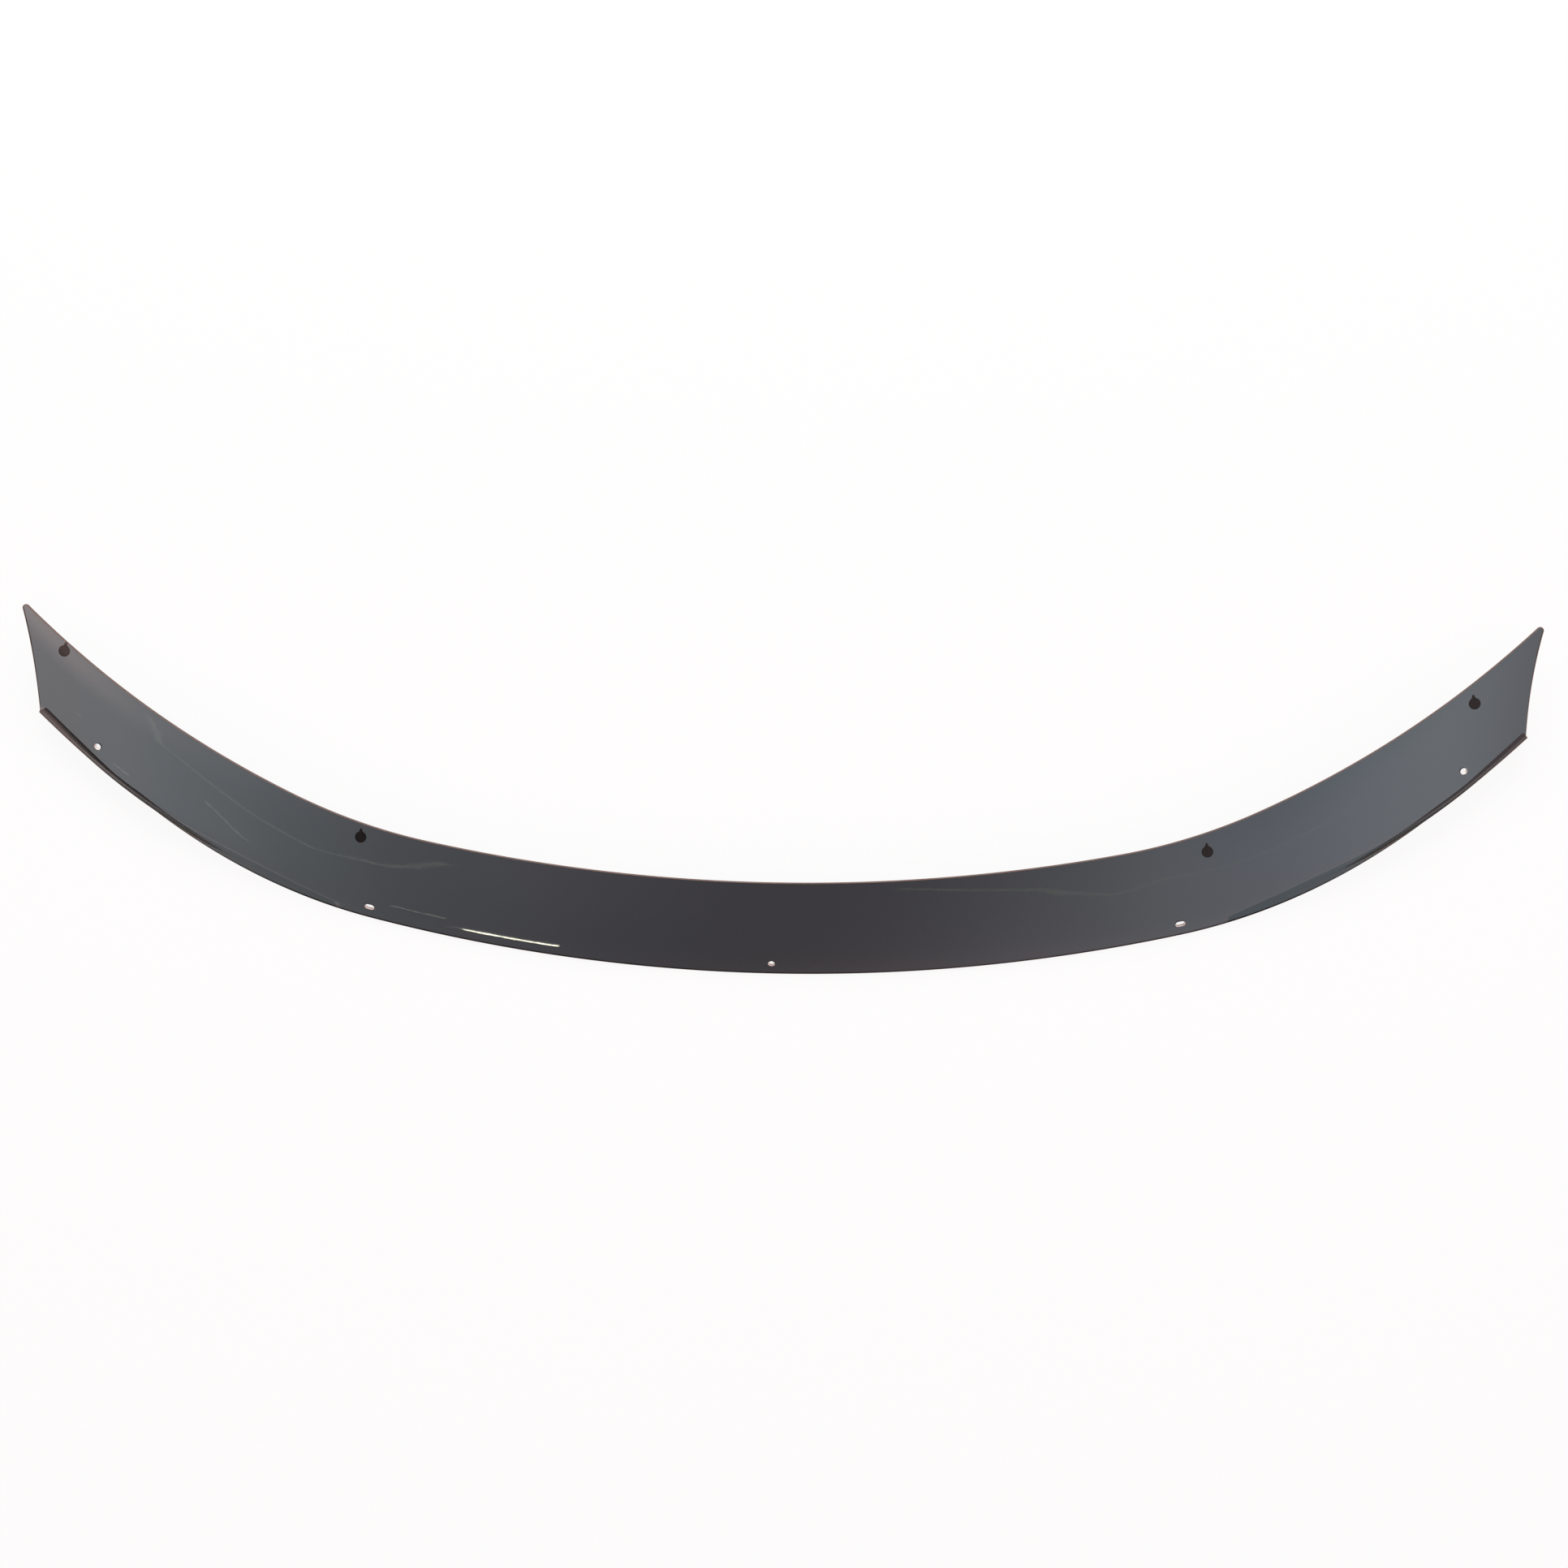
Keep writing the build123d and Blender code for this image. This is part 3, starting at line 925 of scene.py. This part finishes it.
def floor_paper(stage, half_span):
    """Matt white paper, which the sheet mirrors dimly: the studio before the object is half dark."""
    material, tree = new_material("floor_paper")
    ray = add_node(tree, "LightPath").outputs
    paper = add_node(tree, "BsdfDiffuse", {"Color": (*stage.floor, 1)}).outputs["BSDF"]
    plain = emission(tree, WHITE)
    glow = calculated(tree, "MULTIPLY", ray["Is Camera Ray"], stage.floor_glow)
    lit = mixed_shader(tree, glow, paper, plain)
    mirrored = mixed_shader(tree, ray["Is Glossy Ray"], lit, mirrored_floor(tree, stage, half_span))
    whole = mixed_shader(tree, ray["Is Transmission Ray"], mirrored, plain)
    add_node(tree, "OutputMaterial", {"Surface": whole})
    return material


def painted_shade_paper(stage, half_span):
    """Painted shadow of the sheet on the paper: a fixed glow seen only through the sheet, darkest near the
    middle, as though light reached in from both ends.
    """
    material, tree = new_material("painted_shade_paper")
    # Painted shadow: a fixed glow that depends on the place across the floor and is darkest under the middle
    # stands in for the sheet's shade
    across = ranged(tree, coordinate(tree, "NewGeometry", "Position", "X"), (-half_span, half_span))
    seen = emission(tree, add_ramp(tree, across, UNDER_LIGHT), stage.under_level)
    through = add_node(tree, "LightPath").outputs["Is Transmission Ray"]
    whole = mixed_shader(tree, through, mirrored_floor(tree, stage, half_span), seen)
    add_node(tree, "OutputMaterial", {"Surface": whole})
    return material


def softbox_cloth(stage):
    """White diffuser cloth of a softbox, brightest in its middle."""
    material, tree = new_material("softbox_cloth")
    where = add_node(tree, "TexCoord").outputs["Object"]
    fall = add_node(tree, "TexGradient", {"Vector": where}, gradient_type="QUADRATIC_SPHERE").outputs["Fac"]
    level = calculated(tree, "MULTIPLY", fall, stage.softbox_level)
    glow = emission(tree, (*stage.softbox, 1), level)
    clear = add_node(tree, "BsdfTransparent").outputs["BSDF"]
    both = add_node(tree, "AddShader", {0: glow, 1: clear}).outputs["Shader"]
    add_node(tree, "OutputMaterial", {"Surface": both})
    return material


def tube_glass():
    """Lit tubes: each face glows with its own radiance."""
    material, tree = new_material("tube_glass")
    material.cycles.emission_sampling = "NONE"
    own = add_node(tree, "Attribute", attribute_name="radiance").outputs["Fac"]
    add_node(tree, "OutputMaterial", {"Surface": emission(tree, hexed("#FFFBE0"), own)})
    return material


def add_flat(name, points, place, material):
    """A level piece of the stage with the given outline."""
    mesh = new_mesh(name, [(x, y, 0) for x, y in points], [list(range(len(points)))])
    mesh.materials.append(material)
    flat = add_object(name, mesh)
    flat.location = place
    return flat


def square(half):
    return [(-half, -half), (half, -half), (half, half), (-half, half)]


def shade_outline(plan, reach):
    """The sheet's outline in plan, run on a little before the rim and beside the ends."""
    outline = Outline(plan, 0.0)
    rear = outline.place(*outline.rear_at)[:2].T
    slanted = outline.end_at[1] > plan.square_cut
    end = outline.place(outline.end_at[0][slanted], outline.end_at[1][slanted])[:2].T
    along_rim = np.linspace(plan.rim_length, 0, SHADE_STEPS)
    front = outline.place(along_rim, np.full(SHADE_STEPS, -reach))[:2].T
    half = np.vstack([rear, end, front])[::-1] * (SHADE_SPREAD, 1)
    return np.vstack([half, half[-2:0:-1] * (-1, 1)]).tolist()


def add_lamp(name, start, stop, height, radiance):
    """A strip lamp of a given radiance between two points, facing the object; the camera doesn't see it."""
    start, stop = Vector(start), Vector(stop)
    middle = (start + stop) / 2
    light = bpy.data.lights.new(name, "AREA")
    light.shape = "RECTANGLE"
    light.size, light.size_y = (stop - start).length, height
    light.energy = radiance * math.pi * light.size * light.size_y
    lamp = add_object(name, light)
    along = (stop - start).normalized()
    up = middle.cross(along).normalized()
    lamp.matrix_world = Matrix((along, up, along.cross(up))).transposed().to_4x4()
    lamp.location = middle
    lamp.visible_camera = False


def lit_tubes():
    """Every tube and cord that shows as a line in the sheet."""
    row = np.array(TUBE_ROW).T

    def along_row(share):
        return [float(np.interp(share, TUBE_BENDS, axis)) for axis in row]

    tubes = [(along_row(a), along_row(b), ROW_WIDTH, ROW_RADIANCE) for a, b in TUBE_SPANS]
    tubes += FAINT_TUBES
    for cord in CORDS:
        for a, b in zip(cord, cord[1:]):
            tubes.append(((*a, CORD_HEIGHT), (*b, CORD_HEIGHT), CORD_WIDTH, CORD_RADIANCE))
    return tubes


def add_tubes(name, tubes):
    """Narrow lit tubes facing the object, each given by its ends, width and radiance."""
    points = []
    for start, stop, width, _ in tubes:
        start, stop = np.array(start), np.array(stop)
        aside = unit(np.cross(start + stop, stop - start)) * width / 2
        points += [start - aside, stop - aside, stop + aside, start + aside]
    mesh = new_mesh(name, np.array(points).tolist(), np.arange(len(points)).reshape(-1, 4).tolist())
    own = mesh.attributes.new("radiance", "FLOAT", "FACE")
    own.data.foreach_set("value", [tube[-1] for tube in tubes])
    mesh.materials.append(tube_glass())
    piece = add_object(name, mesh)
    return piece


def studio_world(stage):
    """Even studio surround, darker to the left, warm low beside the ends, and white for the camera."""
    world = bpy.data.worlds.new("studio")
    bpy.context.scene.world = world
    world.use_nodes = True
    tree = world.node_tree
    tree.nodes.clear()

    def backdrop(colour, strength=1.0):
        return add_node(tree, "Background", {"Color": colour, "Strength": strength}).outputs[0]

    x, z = (coordinate(tree, "TexCoord", "Generated", axis) for axis in "XZ")
    aside = ranged(tree, x, SURROUND_TURN, curve="SMOOTHSTEP")
    surround = backdrop(mixed_colour(tree, aside, stage.surround_left, stage.surround_right))
    # The warm light stands low, and only beside the ends; to the sides, the sheet mirrors it in pink
    out = ranged(tree, calculated(tree, "ABSOLUTE", x), SIDE_SPAN, curve="SMOOTHSTEP")
    low = ranged(tree, z, SIDE_TOP, curve="SMOOTHSTEP")
    fading = ranged(tree, z, SIDE_FADE, (stage.side_level * SIDE_LOW, stage.side_level))
    side = backdrop((*stage.side_light, 1), fading)
    studio = mixed_shader(tree, calculated(tree, "MULTIPLY", out, low), surround, side)
    camera_ray = add_node(tree, "LightPath").outputs["Is Camera Ray"]
    add_node(tree, "OutputWorld", {"Surface": mixed_shader(tree, camera_ray, studio, backdrop(WHITE))})


def place_camera(stage):
    """The camera, from where the object was photographed."""
    camera = bpy.data.cameras.new("camera")
    camera.sensor_width = SENSOR_WIDTH
    camera.lens = stage.camera_lens
    holder = add_object("camera", camera)
    back = (Vector(stage.camera_at) - Vector(stage.camera_aim)).normalized()
    right = Vector((0, 1, 0)).cross(back).normalized()
    up = back.cross(right)
    c, s = math.cos(stage.camera_roll), math.sin(stage.camera_roll)
    right, up = right * c + up * s, up * c - right * s
    turned = Matrix((right, up, back)).transposed().to_4x4()
    turned.translation = Vector(stage.camera_at)
    holder.matrix_world = turned
    bpy.context.scene.camera = holder


# Edges between faces that meet at more than this stay sharp
SHIELD_SHARP, MARK_SHARP = math.radians(38), math.radians(30)


class DEFLECTOR_OT_shield(bpy.types.Operator):
    """Builds the formed acrylic sheet with its screw holes"""

    bl_idname = "deflector.shield"
    bl_label = "Acrylic shield"

    def execute(self, context):
        scene = context.scene
        sizes = scene.deflector_section
        mesh = sheet_mesh("shield", scene.deflector_plan, sizes)
        piece = add_object("shield", mesh)
        cutter = hole_cutter(scene.deflector_plan, sizes, scene.deflector_holes)
        finish = scene.deflector_finish
        for material in (smoke_acrylic(finish), sawn_acrylic(finish), drilled_acrylic(finish)):
            mesh.materials.append(material)
            cutter.data.materials.append(material)
        cut_holes(piece, cutter)
        piece.data.name = "shield"
        piece.data.shade_smooth()
        piece.data.set_sharp_from_angle(angle=SHIELD_SHARP)
        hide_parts("deflector_shield")
        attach(piece, "root")
        return {"FINISHED"}


class DEFLECTOR_OT_marks(bpy.types.Operator):
    """Sticks the four vinyl bumper marks under the rear edge"""

    bl_idname = "deflector.marks"
    bl_label = "Bumper marks"

    def execute(self, context):
        scene = context.scene
        marks = scene.deflector_marks
        vinyl = black_vinyl(scene.deflector_finish)
        for name, side in (("left_outer", -1), ("left_inner", -1), ("right_inner", 1), ("right_outer", 1)):
            mesh = mark_mesh(
                name + "_mark",
                scene.deflector_plan,
                scene.deflector_section,
                marks,
                side,
                getattr(marks, name),
                getattr(marks, name + "_turn"),
            )
            mesh.shade_smooth()
            mesh.set_sharp_from_angle(angle=MARK_SHARP)
            mesh.materials.append(vinyl)
            piece = add_object(name + "_mark", mesh)
            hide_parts("bumper_mark_" + name)
            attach(piece, "root")
        return {"FINISHED"}


class DEFLECTOR_OT_stage(bpy.types.Operator):
    """Lays the floor and sets up the surround, the lamps and the camera"""

    bl_idname = "deflector.stage"
    bl_label = "Floor, lamps and camera"

    def execute(self, context):
        stage = context.scene.deflector_stage
        half_span = max(abs(CAD_BOX[0][0]), abs(CAD_BOX[1][0]))
        add_flat("floor", square(FLOOR_HALF), (0, 0, FLOOR_HEIGHT), floor_paper(stage, half_span))
        # Only what is seen through the sheet shows its painted shade; the camera sees the open floor
        outline = shade_outline(context.scene.deflector_plan, stage.shade_reach)
        shade = add_flat("shade", outline, (0, 0, SHADE_HEIGHT), painted_shade_paper(stage, half_span))
        softbox = add_flat("softbox", square(1.0), SOFTBOX_AT, softbox_cloth(stage))
        softbox.scale = (SOFTBOX_HALF, SOFTBOX_HALF, 1)
        tubes = add_tubes("tubes", lit_tubes())
        for unseen in (shade, softbox, tubes):
            unseen.visible_camera = unseen.visible_diffuse = unseen.visible_shadow = False
        studio_world(stage)
        # A wide soft lamp behind gives the plain level; from low in front, the roll mirrors it in white
        add_lamp("back_lamp", *LAMP_ENDS, LAMP_HEIGHT, LAMP_RADIANCE)
        place_camera(stage)
        return {"FINISHED"}


class DEFLECTOR_PT_panel(bpy.types.Panel):
    """Lists the pieces of the deflector and their sizes"""

    bl_idname = "DEFLECTOR_PT_panel"
    bl_label = "Deflector"
    bl_space_type = "VIEW_3D"
    bl_region_type = "UI"
    bl_category = "Deflector"

    def draw(self, context):
        for step in STEPS:
            self.layout.operator(step.bl_idname)
        for name in GROUPS:
            box = self.layout.box()
            box.label(text=name.replace("deflector_", "").capitalize())
            group = getattr(context.scene, name)
            for key in type(group).__annotations__:
                box.prop(group, key)


GROUPS = {
    "deflector_plan": PlanSizes,
    "deflector_section": SectionSizes,
    "deflector_holes": HoleSizes,
    "deflector_marks": MarkSizes,
    "deflector_finish": FinishSettings,
    "deflector_stage": StageSettings,
}
STEPS = (DEFLECTOR_OT_shield, DEFLECTOR_OT_marks, DEFLECTOR_OT_stage)


def register():
    for kind in (*GROUPS.values(), *STEPS, DEFLECTOR_PT_panel):
        bpy.utils.register_class(kind)
    for name, kind in GROUPS.items():
        setattr(bpy.types.Scene, name, PointerProperty(type=kind))


def unregister():
    for name in GROUPS:
        delattr(bpy.types.Scene, name)
    for kind in reversed((*GROUPS.values(), *STEPS, DEFLECTOR_PT_panel)):
        bpy.utils.unregister_class(kind)


def main():
    bpy.context.scene.view_settings.view_transform = "Standard"
    register()
    bpy.ops.deflector.shield()
    bpy.ops.deflector.marks()
    bpy.ops.deflector.stage()


if __name__ == "__main__":
    main()
